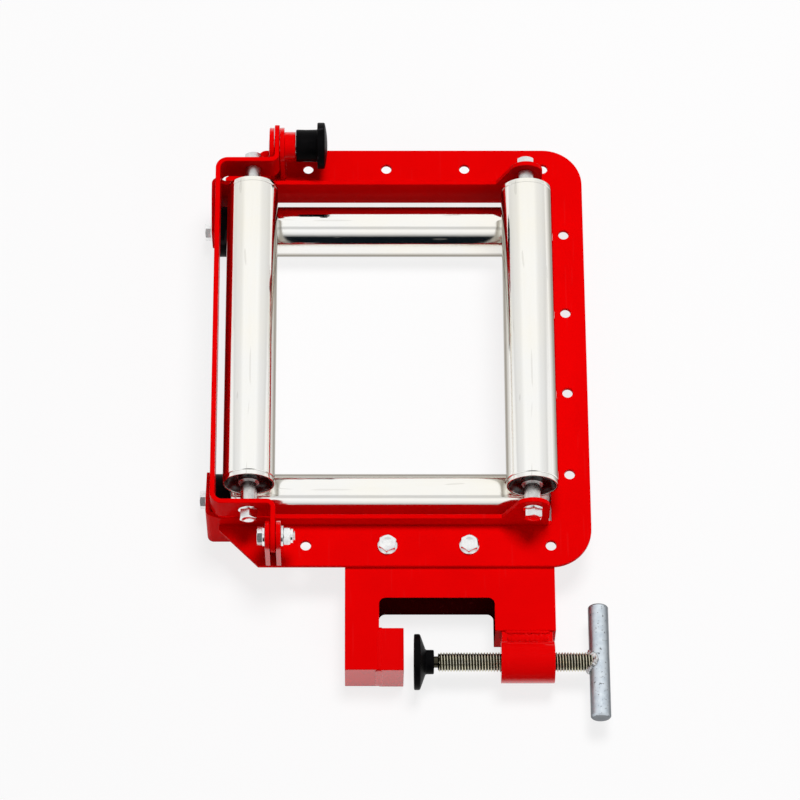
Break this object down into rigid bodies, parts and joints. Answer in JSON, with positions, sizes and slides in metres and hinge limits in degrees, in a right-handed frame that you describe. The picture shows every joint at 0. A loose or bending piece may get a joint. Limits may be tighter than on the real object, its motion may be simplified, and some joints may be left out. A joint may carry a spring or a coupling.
{
  "type": "four-roller cable guide frame",
  "caption": "Flat frame of free-turning rollers round a square window, with a hinged gate held by a spring plunger, rows of mounting holes and a screw clamp.",
  "frame": {"origin": "centre of the four corner mounting holes, on the face plate's top face", "axes": "+X along the horizontal rollers, away from the gate; +Y along the vertical rollers, away from the clamp; +Z out of the face plate, towards the vertical rollers"},
  "size_m": [0.2504, 0.3903, 0.0714],
  "materials": {
    "red_paint": "gloss",
    "zinc_hardware": "zinc plated",
    "zinc_tube": "zinc plated",
    "cup_steel": "pressed",
    "steel": "machined",
    "black_plastic": "moulded",
    "zinc_thread": "yellow zinc plated",
    "galvanised": "galvanised"
  },
  "bodies": {
    "frame": {"face_plate": "red_paint", "top_flange": "red_paint", "bottom_flange": "red_paint", "side_flange": "red_paint", "ear_spacers": "black_plastic", "hinge_lugs": "red_paint", "latch_lugs": "red_paint", "latch_boss": "red_paint", "plunger_sleeve": "steel", "plunger_spring": "steel", "clamp_bracket": "red_paint", "clamp_jaw": "red_paint", "clamp_boss": "red_paint", "clamp_bolts": "zinc_hardware", "clamp_washers": "zinc_hardware", "clamp_nuts": "zinc_hardware", "hinge_bolt": "zinc_hardware", "hinge_washers": "zinc_hardware", "hinge_nut": "zinc_hardware", "right_inner_races": "steel", "right_spindle": "steel", "right_axle_bolts": "zinc_hardware", "top_inner_races": "steel", "top_spindle": "steel", "top_axle_bolts": "zinc_hardware", "bottom_inner_races": "steel", "bottom_spindle": "steel", "bottom_axle_bolts": "zinc_hardware"},
    "gate": {"gate_strap": "red_paint", "left_inner_races": "steel", "left_spindle": "steel", "left_axle_bolts": "zinc_hardware"},
    "right_roller": {"right_roller_tube": "zinc_tube", "right_end_cups": "cup_steel", "right_outer_races": "steel", "right_bearing_balls": "steel"},
    "left_roller": {"left_roller_tube": "zinc_tube", "left_end_cups": "cup_steel", "left_outer_races": "steel", "left_bearing_balls": "steel"},
    "top_roller": {"top_roller_tube": "zinc_tube", "top_end_cups": "cup_steel", "top_outer_races": "steel", "top_bearing_balls": "steel"},
    "bottom_roller": {"bottom_roller_tube": "zinc_tube", "bottom_end_cups": "cup_steel", "bottom_outer_races": "steel", "bottom_bearing_balls": "steel"},
    "plunger": {"latch_pin": "steel", "pull_knob": "black_plastic"},
    "pad": {"clamp_pad": "black_plastic"},
    "screw": {"clamp_screw": "zinc_thread", "tee_bar": "galvanised"}
  },
  "joints": [
    {"name": "gate_hinge", "type": "hinge", "parent": "frame", "child": "gate", "pos_m": [-0.0945, -0.1365, 0.024], "axis": [1, 0, 0], "range_deg": [0, 180]},
    {"name": "right_roller_spin", "type": "hinge", "parent": "frame", "child": "right_roller", "pos_m": [0.0632, 0, 0.024], "axis": [0, 1, 0], "continuous": true},
    {"name": "left_roller_spin", "type": "hinge", "parent": "gate", "child": "left_roller", "pos_m": [-0.1096, 0.0013, 0.024], "axis": [0, 1, 0], "continuous": true},
    {"name": "top_roller_spin", "type": "hinge", "parent": "frame", "child": "top_roller", "pos_m": [-0.0288, 0.0944, -0.0154], "axis": [1, 0, 0], "continuous": true},
    {"name": "bottom_roller_spin", "type": "hinge", "parent": "frame", "child": "bottom_roller", "pos_m": [-0.0288, -0.0944, -0.0154], "axis": [1, 0, 0], "continuous": true},
    {"name": "plunger_pull", "type": "slide", "parent": "frame", "child": "plunger", "axis": [1, 0, 0], "range_m": [0, 0.0085], "stiffness_N_per_m": 600, "springref_m": -0.01, "deforming": ["plunger_spring"]},
    {"name": "pad_travel", "type": "slide", "parent": "frame", "child": "pad", "axis": [-1, 0, 0], "range_m": [-0.034, 0.006]},
    {"name": "screw_turn", "type": "hinge", "parent": "pad", "child": "screw", "pos_m": [0.1034, -0.2038, -0.0125], "axis": [-1, 0, 0], "range_deg": [-7020, 1260]}
  ],
  "couplings": [
    {"joint": "screw_turn", "follows": "pad_travel", "rad_per_m": 3590.4}
  ]
}
